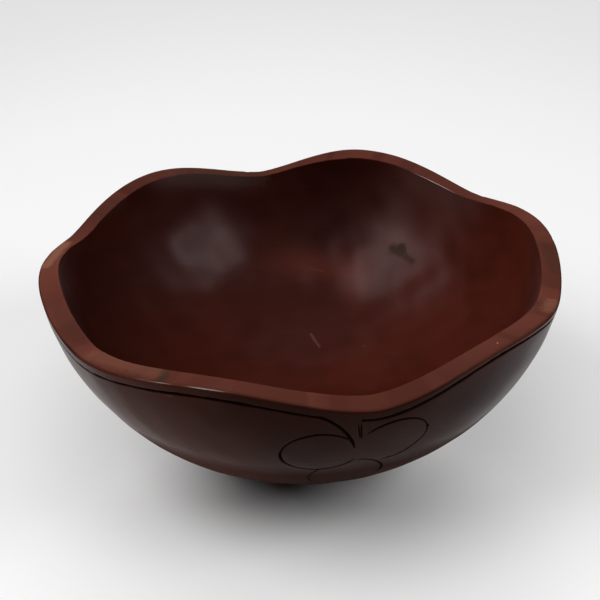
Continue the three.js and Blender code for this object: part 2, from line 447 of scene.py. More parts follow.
class OuterWall:
    """The outer wall: radius R cos(turn) and depth H sin(turn) less the centre's lift over the rim."""

    steps = 4000

    def __init__(self, sizes):
        self.radius = sizes.outer_radius
        self.reach = sizes.outer_reach
        self.lift = sizes.centre_lift
        self.turns = np.linspace(0, np.pi / 2, self.steps + 1)
        radius, depth = self.at_turn(self.turns)
        arcs = np.append(0, np.cumsum(np.hypot(np.diff(radius), np.diff(depth))))
        self.arcs = arcs - np.interp(self.turn_at_depth(0), self.turns, arcs)

    def at_turn(self, turn):
        return self.radius * np.cos(turn), self.reach * np.sin(turn) - self.lift

    def turn_at_depth(self, depth):
        return np.arcsin((depth + self.lift) / self.reach)

    def arc_at_depth(self, depth):
        return np.interp(self.turn_at_depth(depth), self.turns, self.arcs)

    def at_arc(self, arc):
        return self.at_turn(np.interp(arc, self.arcs, self.turns))

    def outward(self, radius, depth):
        """Outward direction as its radial and downward parts: the ellipse's gradient, made one long."""
        across, down = radius / self.radius ** 2, (depth + self.lift) / self.reach ** 2
        size = np.hypot(across, down)
        return across / size, down / size


Stroke = namedtuple("Stroke", "points half_widths")


def tapered(count, half_width, ends, least=0.35):
    """Half widths along a stroke: full in the middle, and thinner towards its two ends."""
    share = np.linspace(0, 1, count)
    rise = np.clip(np.minimum(share, 1 - share) / ends, 0, 1)
    return half_width * (least + (1 - least) * np.sin(rise * np.pi / 2))


def petal_stroke(petal, half_width, count=90):
    """Part of an ellipse: centre plus half lengths times cosine and sine, turned by the tilt."""
    turn = np.radians(np.linspace(petal.start, petal.end, count))
    along, side = petal.half_length * np.cos(turn), petal.half_width * np.sin(turn)
    tilt = math.radians(petal.tilt)
    across = petal.across + along * math.cos(tilt) - side * math.sin(tilt)
    down = petal.down + along * math.sin(tilt) + side * math.cos(tilt)
    swell = np.interp(np.linspace(0, 1, count), np.linspace(0, 1, len(petal.swell)), petal.swell)
    return Stroke(MM * np.stack([across, down], axis=1), tapered(count, half_width, ends=0.05) * swell)


def bend_stroke(start_down, half_width, count=40):
    """Cubic Bezier curve from the border line down into the flower."""
    share = np.linspace(0, 1, count)[:, None]
    start, pull_a, pull_b, end = (np.array(point) for point in BEND_CURVE)
    start = np.array((start[0], start_down / MM))
    points = (start * (1 - share) ** 3 + 3 * pull_a * share * (1 - share) ** 2
              + 3 * pull_b * share ** 2 * (1 - share) + end * share ** 3)
    return Stroke(MM * points, half_width * np.interp(share[:, 0], *BEND_WIDTHS))


def straight_stroke(line, half_width, count=8):
    """Straight short cut."""
    share = np.linspace(0, 1, count)[:, None]
    start, end = (np.array(point) for point in line)
    return Stroke(MM * (start + (end - start) * share), tapered(count, half_width, ends=0.3))


def flower_strokes(carving, bend_start):
    """All strokes of the flower, with across and down places on the unrolled wall."""
    strokes = [petal_stroke(petal, carving.petal_width / 2) for petal in PETALS]
    strokes.append(bend_stroke(bend_start, carving.border_width / 2))
    strokes += [straight_stroke(line, carving.stem_width / 2) for line in STEM_LINES]
    strokes.append(straight_stroke(GOUGE_DOT, carving.border_width / 2))
    return strokes


def nearest_on_stroke(places, stroke):
    """Distance of each place to the stroke's chain of straight pieces, and the half width there."""
    start, end = stroke.points[:-1], stroke.points[1:]
    run = end - start
    offset = places[:, None, :] - start[None, :, :]
    share = np.clip((offset * run).sum(axis=-1) / (run * run).sum(axis=-1), 0, 1)
    distance = np.linalg.norm(offset - share[..., None] * run, axis=-1)
    nearest = distance.argmin(axis=1)
    row = np.arange(len(places))
    share_there = share[row, nearest]
    widths = stroke.half_widths
    half_width = widths[nearest] * (1 - share_there) + widths[nearest + 1] * share_there
    return distance[row, nearest], half_width


def cut_depth(distance, half_width, depth_share, softness=0.2):
    """V cut: deepest on the line, rising to the surface at the half width, with a soft bottom."""
    soft = softness * half_width
    reach = np.sqrt(distance ** 2 + soft ** 2) - soft
    rise = np.clip(1 - reach / (np.sqrt(half_width ** 2 + soft ** 2) - soft), 0, 1)
    return 2 * half_width * depth_share * rise


class BowlSurface:
    """The bowl's closed surface in rows, from the inside's middle over the rim to the socket."""

    columns = 360
    inside_rows = 48
    edge_rows = 7
    top_rows = 4
    # Rows of the outer wall as arcs below its upper edge: close together at the border line, then wider.
    line_rows = np.arange(0.0, 7.3, 0.24) * MM
    wider_rows = np.array([7.8, 8.6, 9.6]) * MM
    lower_start = 10.8 * MM
    lower_rows = 52
    # Cells this close to a stroke are split, and the tools' unevenness fades out over these end shares.
    stroke_margin = 1.9 * MM
    wall_fade = 0.08
    inside_fade = 0.06
    no_width = 1e-6

    def __init__(self, sizes, carving):
        self.sizes = sizes
        self.carving = carving
        self.rim_angles = np.array(sizes.rim_angles)
        self.angles = np.arange(self.columns) * FULL_TURN / self.columns
        self.wall = OuterWall(sizes)
        self.seat_depth = self.wall.at_turn(math.acos(sizes.seat_radius / sizes.outer_radius))[1]
        self.seat_arc = self.wall.arc_at_depth(self.seat_depth)
        self.mean_rim = SEAT_HEIGHT + self.seat_depth
        self.inside_radius = sizes.outer_radius - sizes.rim_width
        self.inside_reach = self.seat_depth - sizes.floor_height + sizes.centre_lift
        self.shares = self.wall_shares()
        bend_angle = BEND_CURVE[0][0] * MM / self.wall.at_arc(BEND_CURVE[0][1] * MM)[0]
        self.strokes = flower_strokes(carving, float(self.border_arc(bend_angle)))

    def rim_depth(self, angle, heights):
        """Depth of an edge: from dip to crest, the height rises with a power of the lobe's wave."""
        dip, crest, wave = lobe_round(angle, self.rim_angles)
        levels = np.array(heights)
        return -(levels[dip] + (levels[crest] - levels[dip]) * wave ** self.sizes.dip_sharpness)

    def inner_depth(self, angle):
        facets = knife_facets(angle, INNER_FACETS, self.sizes.facets)
        return self.rim_depth(angle, self.sizes.inner_heights) + facets

    def outer_depth(self, angle):
        facets = knife_facets(angle, OUTER_FACETS, self.sizes.facets)
        return self.rim_depth(angle, self.sizes.outer_heights) + facets

    def place(self, radius, depth, angle):
        """Points from a radius, a depth below the mean rim and an angle from the front."""
        return np.stack([radius * np.sin(angle), -radius * np.cos(angle), self.mean_rim - depth], axis=-1)

    def ring(self, radius, depth):
        """Rows of points round the bowl from the radius and depth of each row."""
        return self.place(*np.broadcast_arrays(radius, depth, self.angles))

    def inside(self, share, angle):
        """Inside curve from the floor (0) to the inner edge (1): a superellipse with flutes."""
        sizes = self.sizes
        power = sizes.inside_fullness
        edge_depth = sizes.inner_round + self.inner_depth(angle)
        last = np.arcsin(((edge_depth + sizes.centre_lift) / self.inside_reach) ** (power / 2))
        turn = np.pi / 2 + (last - np.pi / 2) * share
        radius = self.inside_radius * np.abs(np.cos(turn)) ** (2 / power)
        depth = self.inside_reach * np.sin(turn) ** (2 / power) - sizes.centre_lift
        _, _, wave = lobe_round(angle, self.rim_angles)
        return radius + sizes.flute_depth * wave ** 2 * np.sin(np.pi * share) ** 2, depth

    def wall_start(self, angle):
        """Arc at which the outer wall leaves the rounded outer edge."""
        return self.wall.arc_at_depth(self.outer_depth(angle) + self.sizes.outer_round)

    def wall_arc(self, share, angle):
        """Arc down the outer wall at a share of the way from the outer edge to the seat."""
        start = self.wall_start(angle)
        return start + (self.seat_arc - start) * share

    def wall_shares(self):
        """Rows of the outer wall as shares of the way down it at the front."""
        span = float(self.wall_arc(1.0, 0.0) - self.wall_arc(0.0, 0.0))
        lower = np.linspace(self.lower_start, span, self.lower_rows)
        return np.concatenate([self.line_rows, self.wider_rows, lower]) / span

    def border_arc(self, angle):
        """Arc of the border line: its drop below the rim's outer edge."""
        drop = ease_round(angle, self.rim_angles, self.carving.border_drops)
        return self.wall.arc_at_depth(self.outer_depth(angle)) + drop

    def unrolled(self, arc, angle):
        """Places across and down on the unrolled wall, and which of them the flower can reach."""
        turned = (angle + np.pi) % FULL_TURN - np.pi
        places = np.stack([turned * self.wall.at_arc(arc)[0], arc], axis=-1).reshape(-1, 2)
        return places, (np.abs(places[:, 0]) < FLOWER_REACH[0]) & (places[:, 1] < FLOWER_REACH[1])

    def carved(self, arc, angle):
        """Depth of the carving at places on the outer wall, and that depth as a share of a full cut."""
        carving = self.carving
        places, near = self.unrolled(arc, angle)
        across = places[:, 0].reshape(np.shape(arc))
        in_flower = (across > BEND_CURVE[0][0] * MM) & (across < STEM_LINES[1][0][0] * MM)
        swell = ease_round(angle, self.rim_angles, carving.border_swells)
        swell = swell + knife_facets(angle, BORDER_FACETS, carving.border_unrest)
        half_line = np.where(in_flower, self.no_width, swell * carving.border_width / 2)
        off_line = np.abs(arc - self.border_arc(angle))
        depth = cut_depth(off_line, half_line, carving.depth_share).ravel()
        for stroke in self.strokes:
            distance, half_width = nearest_on_stroke(places[near], stroke)
            depth[near] = np.maximum(depth[near], cut_depth(distance, half_width, carving.depth_share))
        depth = depth.reshape(np.shape(arc))
        return depth, np.clip(depth / (carving.petal_width * carving.depth_share), 0, 1)

    def wall_points(self, share, angle):
        """Points of the outer wall, sunk along the wall's normal where it is carved."""
        arc = self.wall_arc(share, angle)
        radius, depth = self.wall.at_arc(arc)
        sunk, mask = self.carved(arc, angle)
        ripple = self.sizes.outer_share * gouge_ripple(self.place(radius, depth, angle), self.sizes)
        ends = np.clip(share / self.wall_fade, 0, 1) * np.clip((1 - share) / self.wall_fade, 0, 1)
        sunk = sunk + ripple * ends
        across, down = self.wall.outward(radius, depth)
        return self.place(radius - sunk * across, depth - sunk * down, angle), mask

    def inside_points(self, share, angle):
        """Points of the inside, with the gouge's ripple pointing to the middle of the bowl's mouth."""
        share, angle = np.broadcast_arrays(share, angle)
        points = self.place(*self.inside(share, angle), angle)
        towards = np.array([0, 0, self.mean_rim]) - points
        towards /= np.linalg.norm(towards, axis=-1, keepdims=True)
        ripple = gouge_ripple(points, self.sizes) * np.clip((1 - share) / self.inside_fade, 0, 1)
        return points + ripple[..., None] * towards

    def stroke_cells(self):
        """True for each cell of the outer wall that a stroke of the flower touches."""
        middle = (self.shares[:-1] + self.shares[1:]) / 2
        share, angle = np.meshgrid(middle, self.angles + np.pi / self.columns, indexing="ij")
        places, near = self.unrolled(self.wall_arc(share, angle), angle)
        touched = np.zeros(len(places), bool)
        for stroke in self.strokes:
            distance, half_width = nearest_on_stroke(places[near], stroke)
            touched[near] |= distance < half_width + self.stroke_margin
        return touched.reshape(share.shape)


def rounded_edge(centre_radius, top_depth, reach, turn):
    """Quarter round of an edge, at a turn counted from outwards (0) to up (a quarter turn)."""
    return centre_radius + reach * np.cos(turn), top_depth + reach - reach * np.sin(turn)


Band = namedtuple("Band", "zone points masks")


def bowl_bands(surface):
    """Bands of rows from the inside over the rim to the socket, with the zone, points and masks of each."""
    sizes = surface.sizes
    angle = surface.angles[None, :]
    quarter = np.linspace(0, np.pi / 2, surface.edge_rows)[:, None]
    sharp = np.sin(2 * quarter) ** 4
    share = np.linspace(0, 1, surface.inside_rows + 1)[1:-1, None]

    inner_wall, _ = surface.inside(np.ones((1, 1)), angle)
    outer_wall, _ = surface.wall.at_arc(surface.wall_start(angle))
    reach = sizes.inner_round
    inner = rounded_edge(inner_wall + reach, surface.inner_depth(angle), reach, np.pi - quarter)
    reach = sizes.outer_round
    outer = rounded_edge(outer_wall - reach, surface.outer_depth(angle), reach, np.pi / 2 - quarter)
    across = np.linspace(0, 1, surface.top_rows + 2)[1:-1, None]
    top = (first[-1:] + (last[:1] - first[-1:]) * across for first, last in zip(inner, outer))

    wall, cut = surface.wall_points(*np.meshgrid(surface.shares[1:], surface.angles, indexing="ij"))
    socket = surface.seat_depth - np.array([[0.0], [sizes.socket_depth]])
    inner_masks = {
        "rim": np.sin(quarter), "inside": np.cos(quarter), "edge": sharp * polish_round(angle, INNER_POLISH)}
    outer_masks = {"rim": np.cos(quarter), "edge": sharp * polish_round(angle, OUTER_POLISH)}
    return [
        Band("inside", surface.inside_points(share, angle), {"inside": 1.0}),
        Band("rim", surface.ring(*inner), inner_masks),
        Band("rim", surface.ring(*top), {"rim": 1.0}),
        Band("rim", surface.ring(*outer), outer_masks),
        Band("outer_wall", wall, {"cut": cut}),
        Band("outer_wall", surface.ring(sizes.socket_radius, socket), {}),
    ]


def build_mesh(name, points, faces):
    """Makes a mesh from points and a list of index arrays, each with one face per line."""
    sizes = np.concatenate([np.full(len(block), block.shape[1]) for block in faces])
    loops = np.concatenate([block.ravel() for block in faces])
    mesh = bpy.data.meshes.new(name)
    mesh.vertices.add(len(points))
    mesh.vertices.foreach_set("co", np.asarray(points, np.float32).ravel())
    mesh.loops.add(len(loops))
    mesh.loops.foreach_set("vertex_index", loops.astype(np.int32))
    mesh.polygons.add(len(sizes))
    mesh.polygons.foreach_set("loop_start", np.append(0, np.cumsum(sizes)[:-1]).astype(np.int32))
    mesh.update(calc_edges=True)
    if mesh.validate():
        raise RuntimeError(f"the mesh of {name} had faulty faces")
    mesh.shade_smooth()
    mesh.set_sharp_from_angle(angle=math.radians(50))
    return mesh


def ring_quads(skip):
    """Quads between the rows of a closed ring, without the cells that skip marks."""
    columns = skip.shape[1]
    row, column = np.nonzero(~skip)
    after = (column + 1) % columns
    low, high = row * columns, (row + 1) * columns
    return np.stack([low + column, high + column, high + after, low + after], axis=1)


def pole_fans(rows, columns, first_pole):
    """Triangles from the first ring to the first pole, and from the last ring to the pole after it."""
    column = np.arange(columns)
    after = (column + 1) % columns
    last = (rows - 1) * columns
    opening = np.stack([np.full(columns, first_pole), column, after], axis=1)
    closing = np.stack([last + column, np.full(columns, first_pole + 1), last + after], axis=1)
    return opening, closing


def split_cells(touched, splits):
    """Fine lattice keys of the split cells' quads and of the faces beside them.

    A lattice key is the fine row times the fine columns plus the fine column. A split cell has splits by
    splits quads. A cell beside it keeps one face, whose shared side takes up the fine points.
    """
    columns = touched.shape[1]
    fine_columns = columns * splits
    step = np.arange(splits)

    def key(down, across):
        return down * fine_columns + across % fine_columns

    row, column = (part[:, None, None] * splits for part in np.nonzero(touched))
    down, across = np.broadcast_arrays(row + step[None, :, None], column + step[None, None, :])
    corners = [key(down, across), key(down + 1, across), key(down + 1, across + 1), key(down, across + 1)]
    quads = np.stack(corners, axis=-1).reshape(-1, 4)
    left, right = np.roll(touched, 1, axis=1), np.roll(touched, -1, axis=1)
    above = np.vstack([np.zeros((1, columns), bool), touched[:-1]])
    below = np.vstack([touched[1:], np.zeros((1, columns), bool)])
    pattern = np.where(touched, 0, left + 2 * below + 4 * right + 8 * above)
    beside = []
    for sides in range(1, 16):
        row, column = (part[:, None] * splits for part in np.nonzero(pattern == sides))
        if not len(row):
            continue
        counts = [step if sides & bit else step[:1] for bit in (1, 2, 4, 8)]
        beside.append(np.hstack([
            key(row + counts[0], column + 0 * counts[0]),
            key(row + splits + 0 * counts[1], column + counts[1]),
            key(row + splits - counts[2], column + splits + 0 * counts[2]),
            key(row + 0 * counts[3], column + splits - counts[3])]))
    return quads, beside, pattern > 0


def spread_mask(bands, name):
    """One mask over the points of all bands, and zero where a band has none."""
    return np.concatenate([
        np.broadcast_to(band.masks.get(name, 0.0), band.points.shape[:2]) for band in bands])


def carved_bowl_mesh(surface):
    """Closed mesh of the bowl: plain rings, with the cells under the flower's strokes split finely."""
    bands = bowl_bands(surface)
    points = np.concatenate([band.points for band in bands])
    rows, columns = points.shape[:2]
    row_zones = np.repeat([ZONES.index(band.zone) for band in bands], [len(band.points) for band in bands])
    wall_row = np.flatnonzero(row_zones == ZONES.index("outer_wall"))[0] - 1
    splits = surface.carving.cell_splits
    touched = surface.stroke_cells()
    quads, beside, bordering = split_cells(touched, splits)
    keys = np.unique(np.concatenate([block.ravel() for block in [quads, *beside]]))
    fine_row, fine_column = np.divmod(keys, columns * splits)
    on_ring = (fine_row % splits == 0) & (fine_column % splits == 0)

    share = np.interp(fine_row / splits, np.arange(len(surface.shares)), surface.shares)
    fine_points, fine_cut = surface.wall_points(share, fine_column * FULL_TURN / (columns * splits))
    numbers = rows * columns + np.cumsum(~on_ring) - 1
    numbers[on_ring] = (wall_row + fine_row[on_ring] // splits) * columns + fine_column[on_ring] // splits
    floor_point = surface.inside_points(np.zeros(1), np.zeros(1))
    socket_depth = np.full(1, surface.seat_depth - surface.sizes.socket_depth)
    socket_point = surface.place(np.zeros(1), socket_depth, np.zeros(1))
    all_points = np.concatenate([points.reshape(-1, 3), fine_points[~on_ring], floor_point, socket_point])

    skip = np.zeros((rows - 1, columns), bool)
    skip[wall_row:wall_row + len(touched)] = touched | bordering
    rings = ring_quads(skip)
    faces = [rings, *pole_fans(rows, columns, len(all_points) - 2)]
    faces += [numbers[np.searchsorted(keys, block)] for block in [quads, *beside]]
    mesh = build_mesh("carved_bowl", all_points, faces)
    set_zones(mesh, row_zones, rings[:, 0] // columns, columns)
    masks = {
        name: np.concatenate([
            spread_mask(bands, name).ravel(), fine_cut[~on_ring] * (name == "cut"), (name == "inside", 0)])
        for name in ROW_MASKS}
    set_masks(mesh, surface, all_points, masks)
    return mesh


def set_zones(mesh, row_zones, ring_rows, columns):
    """Gives each face the material of its zone: a ring's face is the rim's only if both its rows are."""
    first, last = row_zones[:-1], row_zones[1:]
    between = np.where(first == ZONES.index("rim"), last, first)
    zones = np.full(len(mesh.polygons), ZONES.index("outer_wall"), np.int32)
    zones[:len(ring_rows)] = between[ring_rows]
    zones[len(ring_rows):len(ring_rows) + columns] = ZONES.index("inside")
    mesh.polygons.foreach_set("material_index", zones)


def set_masks(mesh, surface, points, masks):
    """Keeps the masks, the tone, the painted sheen and the patches of wear on the mesh, one number per point.
    """
    inside, rim = masks["inside"], masks["rim"]
    outside = (1 - inside) * (1 - rim)
    height = points[:, 2]
    angle = np.arctan2(points[:, 0], -points[:, 1]) % FULL_TURN
    below_inner = surface.mean_rim - surface.inner_depth(angle) - height
    below_outer = surface.mean_rim - surface.outer_depth(angle) - height
    inner_sheen = patches_under(angle, below_inner, INNER_SHEEN_PATCHES) + sum(
        spot_bell(points, spot) for spot in SHEEN_SPOTS)
    layers = {
        **masks,
        "tone": tone_with_painted_light(points, angle, inside, rim),
        # Painted sheen: pale patches under the rim inside and on the outer wall, and spots inside.
        "painted_sheen": inside * inner_sheen + outside * patches_under(angle, below_outer, OUTER_SHEEN_PATCHES),
        "rub": outside * patches_under(angle, below_outer, OUTER_RUBS),
        "gloss": outside * patches_under(angle, below_outer, OUTER_GLOSS),
        "matt": POLISH_LOSS * outside * falling(height, POLISH_ENDS),
    }
    for name, values in layers.items():
        layer = mesh.attributes.new(name, "FLOAT", "POINT")
        layer.data.foreach_set("value", np.asarray(values, np.float32))


def tone_with_painted_light(points, angle, inside, rim):
    """Tone of the wood's colour, with painted light in it.

    Inside it is a bell over the plan, with spots and a streak; one spot paints the core of a highlight.
    Outside it is palest on the left, partly warmer wood and partly painted sheen. On the rim it eases from
    knot to knot, partly the rubbed wood and partly painted sheen, with a step at each facet.
    """
    across, along = points[:, 0] / HALF_WIDTH, np.maximum(points[:, 1] / HALF_WIDTH, TONE_FRONT)
    places = np.stack([across, along, across ** 2, along ** 2, across * along])
    within = np.exp(np.array(TONE_FACTORS) @ places) * (1 + streak_bell(points, PALE_STREAK))
    for spot in TONE_SPOTS:
        within *= 1 + spot_bell(points, spot)
    without = OUTER_TONE + LEFT_TONE_AND_SHEEN * np.clip(-across, 0, 1) ** LEFT_POWER
    without *= UPPER_SHARE + LOWER_SHARE * falling(points[:, 2], SHARE_ENDS)
    above = ease_round(angle, np.array(RIM_ANGLES), RIM_TONES) + facet_tones(angle, TONE_FACETS, TONE_SPREAD)
    return (within * inside + without * (1 - inside)) * (1 - rim) + above * rim


def turned_mesh(name, profile, columns=192):
    """Profile of radii and heights carried round the axis, with a pole at each end on the axis."""
    rings = profile[1:-1]
    angle = np.arange(columns) * FULL_TURN / columns
    radius, height = rings[:, :1], rings[:, 1:]
    points = np.stack([radius * np.sin(angle), -radius * np.cos(angle), height + 0 * angle], axis=-1)
    poles = np.array([[0, 0, profile[0, 1]], [0, 0, profile[-1, 1]]])
    skip = np.zeros((len(rings) - 1, columns), bool)
    faces = [ring_quads(skip), *pole_fans(len(rings), columns, len(rings) * columns)]
    return build_mesh(name, np.concatenate([points.reshape(-1, 3), poles]), faces)


def foot_profile(foot, side_rows=13, round_rows=7):
    """Half section of the foot: spigot, coved side as a sine hollow, rounded base ring and recess."""
    top, shoulder = FOOT_BOX[1].z, SEAT_HEIGHT
    share = np.linspace(0, 1, side_rows)
    side_top = shoulder - foot.top_lip
    side_height = side_top + (foot.base_lip - side_top) * share
    side_radius = foot.top_radius + (foot.base_radius - foot.top_radius) * share ** 2
    side_radius = side_radius - foot.cove * np.sin(np.pi * share) * (1 - share)
    turn = np.linspace(0, np.pi / 2, round_rows)
    base_radius = foot.base_radius - foot.base_round + foot.base_round * np.cos(turn)
    base_height = foot.base_round - foot.base_round * np.sin(turn)
    inner = foot.base_radius - foot.ring_width
    return np.array([
        (0, top), (foot.spigot_radius - foot.chamfer, top), (foot.spigot_radius, top - foot.chamfer),
        (foot.spigot_radius, shoulder), (foot.top_radius, shoulder),
        *zip(side_radius, side_height), *zip(base_radius, base_height),
        (inner + foot.chamfer, 0), (inner, foot.chamfer), (inner, foot.recess), (0, foot.recess)])


def set_inputs(tree, node, inputs):
    """Fills a node's inputs from values or from other nodes' outputs."""
    for key, value in inputs.items():
        if isinstance(value, bpy.types.NodeSocket):
            tree.links.new(value, node.inputs[key])
        else:
            node.inputs[key].default_value = value


def add_node(tree, kind, inputs=None, **settings):
    """Adds a node with its own settings and inputs."""
    node = tree.nodes.new(kind)
    for name, value in settings.items():
        setattr(node, name, value)
    set_inputs(tree, node, inputs or {})
    return node


def mix_colours(tree, share, first, second):
    """Colour between two colours, by a share from 0 to 1."""
    first, second = (
        value if isinstance(value, bpy.types.NodeSocket) else (*value, 1.0) for value in (first, second))
    return add_node(tree, "ShaderNodeMix", {0: share, 6: first, 7: second}, data_type="RGBA").outputs[2]


def blend(tree, share, first, second):
    """Number between two numbers, by a share from 0 to 1."""
    return add_node(tree, "ShaderNodeMix", {0: share, 2: first, 3: second}).outputs[0]


def calculate(tree, operation, *values):
    """Math node on values or outputs."""
    return add_node(tree, "ShaderNodeMath", dict(enumerate(values)), operation=operation).outputs[0]


def remap(tree, value, low, high, new_low=0.0, new_high=1.0):
    """Smooth step of a value from one range to another."""
    inputs = {"Value": value, "From Min": low, "From Max": high, "To Min": new_low, "To Max": new_high}
    return add_node(tree, "ShaderNodeMapRange", inputs, interpolation_type="SMOOTHSTEP").outputs[0]


def noise(tree, position, scale, detail):
    """Noise over the position."""
    inputs = {"Vector": position, "Scale": scale, "Detail": detail}
    return add_node(tree, "ShaderNodeTexNoise", inputs).outputs["Fac"]


def new_group(name, inputs, outputs):
    """Empty shader node group with named sockets, and its input and output nodes."""
    group = bpy.data.node_groups.new(name, "ShaderNodeTree")
    for label, kind in inputs:
        group.interface.new_socket(label, in_out="INPUT", socket_type=kind)
    for label in outputs:
        group.interface.new_socket(label, in_out="OUTPUT", socket_type="NodeSocketFloat")
    return group, group.nodes.new("NodeGroupInput"), group.nodes.new("NodeGroupOutput")


def wood_figure_group():
    """Wood grain round a log axis along X below the bowl.

    The depth of the stain comes from year rings, long fibres and clouds. The clouds and the thickness of the
    wax are noise.
    """
    group, given, result = new_group(
        "Wood figure", [("Position", "NodeSocketVector")], ("Depth", "Clouds", "Wax"))
    position = given.outputs["Position"]
    lean = (0, 0.06, 0.12)
    log = add_node(group, "ShaderNodeMapping", {
        "Vector": position, "Location": (0, 0.05, 0.16), "Rotation": lean}).outputs[0]
    rings = add_node(
        group, "ShaderNodeTexWave",
        {"Vector": log, "Scale": 28.0, "Distortion": 5.0, "Detail": 3.0, "Detail Scale": 1.4},
        wave_type="RINGS", rings_direction="X", wave_profile="SAW").outputs["Fac"]
    along = add_node(group, "ShaderNodeMapping", {
        "Vector": position, "Rotation": lean, "Scale": (30, 620, 620)}).outputs[0]
    clouds = remap(group, noise(group, position, 16.0, 3.0), 0.35, 0.65)
    fibres = noise(group, along, 1.0, 4.0)
    bands = calculate(
        group, "MULTIPLY_ADD", fibres, FIBRE_SHARE, calculate(group, "MULTIPLY", rings, RING_SHARE))
    depth = calculate(group, "MULTIPLY_ADD", clouds, CLOUD_SHARE, bands)
    outputs = {
        "Depth": remap(group, depth, *DEPTH_RANGE),
        "Clouds": clouds,
        "Wax": remap(group, noise(group, position, 70.0, 2.0), 0.3, 0.7),
    }
    set_inputs(group, result, outputs)
    return group


def streak_group():
    """Mask of a ragged streak: the distance to the straight line between its ends, over its half width."""
    vectors = [(label, "NodeSocketVector") for label in ("Position", "Start", "Run")]
    group, given, result = new_group("Streak", [*vectors, ("Half Width", "NodeSocketFloat")], ("Mask",))
    position, start, run, half_width = given.outputs[:4]

    def vector(operation, inputs, output="Vector"):
        return add_node(group, "ShaderNodeVectorMath", inputs, operation=operation).outputs[output]

    offset = vector("SUBTRACT", {0: position, 1: start})
    run_square = vector("DOT_PRODUCT", {0: run, 1: run}, "Value")
    along = calculate(group, "DIVIDE", vector("DOT_PRODUCT", {0: offset, 1: run}, "Value"), run_square)
    along = add_node(group, "ShaderNodeClamp", {"Value": along}).outputs[0]
    nearest = vector("SCALE", {0: run, "Scale": along})
    distance = vector("DISTANCE", {0: offset, 1: nearest}, "Value")
    ragged = noise(group, position, 450.0, 2.0)
    wide = calculate(group, "ADD", calculate(group, "DIVIDE", distance, half_width), ragged)
    set_inputs(group, result, {"Mask": remap(group, wide, 0.8, 1.6, 1.0, 0.0)})
    return group


def new_wood(name, figure):
    """Wood material with its shader, the position on the piece and the outputs of its figure."""
    material = bpy.data.materials.new(name)
    material.use_nodes = True
    tree = material.node_tree
    position = add_node(tree, "ShaderNodeTexCoord").outputs["Object"]
    grain = add_node(tree, "ShaderNodeGroup", {"Position": position}, node_tree=figure)
    return material, tree.nodes["Principled BSDF"], position, grain.outputs


def foot_wood(figure, wood):
    """Dark stained wood with a satin finish."""
    material, shader, _, grain = new_wood("foot_wood", figure)
    tree = material.node_tree
    set_inputs(tree, shader, {
        "Base Color": mix_colours(tree, grain["Depth"], wood.stain, wood.deep_stain),
        "Roughness": wood.foot_rough, "Specular IOR Level": wood.foot_shine})
    return material


def add_marks(tree, streaks, position, wood, base, dull):
    """Lays the marks over a base colour, painted highlights among them, and dulls the dark ones."""
    for mark in MARKS:
        start, end = (Vector(point) * MM for point in (mark.start, mark.end))
        streak = add_node(tree, "ShaderNodeGroup", {
            "Position": position, "Start": start, "Run": end - start, "Half Width": mark.half_width * MM},
            node_tree=streaks)
        share = calculate(tree, "MULTIPLY", streak.outputs["Mask"], abs(mark.shade))
        base = mix_colours(tree, share, base, wood.scratch_and_highlight if mark.shade > 0 else wood.chip)
        if mark.shade < 0:
            dull = calculate(tree, "MAXIMUM", dull, share)
    return base, dull


def bowl_wood(zone, figure, streaks, wood):
    """Stained wood of one zone of the bowl: uneven tone, painted sheen and highlights, a rubbed rim, dark
    cuts with painted shade, and marks of use.
    """
    material, shader, position, grain = new_wood(f"{zone}_wood", figure)
    tree = material.node_tree
    rim, cut, inside, edge, tone, painted_sheen, rub, gloss, matt = (
        add_node(tree, "ShaderNodeAttribute", attribute_name=name).outputs["Fac"]
        for name in ("rim", "cut", "inside", "edge", "tone", "painted_sheen", "rub", "gloss", "matt"))
    within = mix_colours(tree, grain["Depth"], wood.stain, wood.deep_stain)
    without = mix_colours(tree, grain["Clouds"], wood.outer_deep, wood.outer_stain)
    # The rim's colours carry part of its sheen as paint.
    above = mix_colours(tree, grain["Depth"], wood.rim_wood_and_sheen, wood.rim_band_and_sheen)
    off_middle = calculate(tree, "SUBTRACT", grain["Clouds"], 0.5)
    frayed = calculate(tree, "MULTIPLY_ADD", off_middle, FRAY_SHARE, rim)
    base = mix_colours(tree, inside, without, within)
    base = mix_colours(tree, remap(tree, frayed, *RUBBED_RANGE), base, above)
    # The tone also paints sheen on the rim and on the outer wall's left, and a highlight's core inside.
    base = add_node(tree, "ShaderNodeVectorMath", {0: base, "Scale": tone}, operation="SCALE").outputs[0]
    # Painted sheen laid over the wood.
    base = mix_colours(tree, painted_sheen, base, wood.sheen_colour)
    base = mix_colours(tree, rub, base, above)

    carved = remap(tree, cut, *CUT_RANGE)
    dull = calculate(tree, "MAXIMUM", remap(tree, rim, *DULL_RANGE), carved)
    dull = calculate(tree, "MAXIMUM", dull, matt)
    base, dull = add_marks(tree, streaks, position, wood, base, dull)
    wax = blend(tree, dull, blend(tree, grain["Wax"], wood.thin_wax, wood.thick_wax), 0.0)
    coat = calculate(tree, "MULTIPLY_ADD", gloss, wood.buffed, calculate(tree, "MULTIPLY", inside, wax))
    polished = blend(tree, inside, wood.outer_rough, wood.inner_rough)
    finish = FINISHES[zone]
    # The cuts get a dark colour: their stain with painted shade.
    set_inputs(tree, shader, {
        "Base Color": mix_colours(tree, carved, base, wood.cut),
        "Roughness": blend(tree, dull, polished, wood.dull_rough),
        "Specular IOR Level": finish.shine, "Specular Tint": (*wood.gloss, 1),
        "Coat Weight": calculate(tree, "MAXIMUM", coat, edge),
        "Coat Roughness": finish.coat_rough, "Coat IOR": finish.coat_index})
    return material


